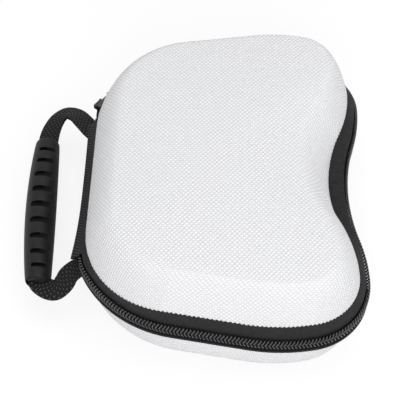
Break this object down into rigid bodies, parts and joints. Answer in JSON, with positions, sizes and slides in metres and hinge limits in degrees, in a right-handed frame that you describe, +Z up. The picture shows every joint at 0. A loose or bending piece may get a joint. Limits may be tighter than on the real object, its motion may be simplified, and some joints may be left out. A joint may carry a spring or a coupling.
{
  "type": "controller carrying case",
  "caption": "Zipped hard carrying case for a game controller, moulded in white woven fabric with a black zip, cloth spine and a webbing handle with a ribbed grip.",
  "frame": {"origin": "centre of the flat underside of the base, on the surface the case stands on", "axes": "+X from the cloth spine to the two lobes, +Y along the case, +Z up through the lid"},
  "size_m": [0.162, 0.1694, 0.069],
  "materials": {
    "shell_fabric": "coarse white oxford weave laminated on moulded foam, matt",
    "zip_tape": "black woven polyester tape, matt",
    "zip_coil": "black nylon coil, semi matt",
    "spine_twill": "black herringbone tape, matt",
    "webbing": "black basket weave webbing, slight sheen",
    "grip_rubber": "dark grey moulded rubber, satin",
    "slider_metal": "black lacquered zinc, satin",
    "binding": "black ribbed binding tape, matt",
    "net": "black knitted net, matt"
  },
  "bodies": {
    "base": {"lower_shell": "shell_fabric", "lower_zip_tape": "zip_tape", "lower_zip_teeth": "zip_coil", "spine_tape_lower": "spine_twill", "slider_rear": "slider_metal", "handle_webbing": "webbing", "handle_grip": "grip_rubber", "lower_binding": "binding"},
    "lid": {"upper_shell": "shell_fabric", "upper_zip_tape": "zip_tape", "upper_zip_teeth": "zip_coil", "spine_tape_upper": "spine_twill", "upper_binding": "binding", "net_pocket": "net", "net_hem": "binding"},
    "front_slider": {"slider_front": "slider_metal"},
    "front_pull": {"pull_front": "slider_metal"},
    "rear_pull": {"pull_rear": "slider_metal"}
  },
  "joints": [
    {"name": "lid_hinge", "type": "hinge", "parent": "base", "child": "lid", "pos_m": [-0.0681, 0, 0.033], "axis": [0, -1, 0], "range_deg": [0, 105]},
    {"name": "front_slider_travel", "type": "hinge", "parent": "base", "child": "front_slider", "pos_m": [-0.01375, 0.02101, 0.033], "axis": [0, 0, -1], "range_deg": [0, 30]},
    {"name": "front_pull_swing", "type": "hinge", "parent": "front_slider", "child": "front_pull", "pos_m": [-0.05865, 0.06287, 0.033], "axis": [0.6819, 0.7314, 0], "range_deg": [0, 95]},
    {"name": "rear_pull_swing", "type": "hinge", "parent": "base", "child": "rear_pull", "pos_m": [-0.06494, 0.05489, 0.033], "axis": [0.5519, 0.8339, 0], "range_deg": [0, 95]}
  ]
}
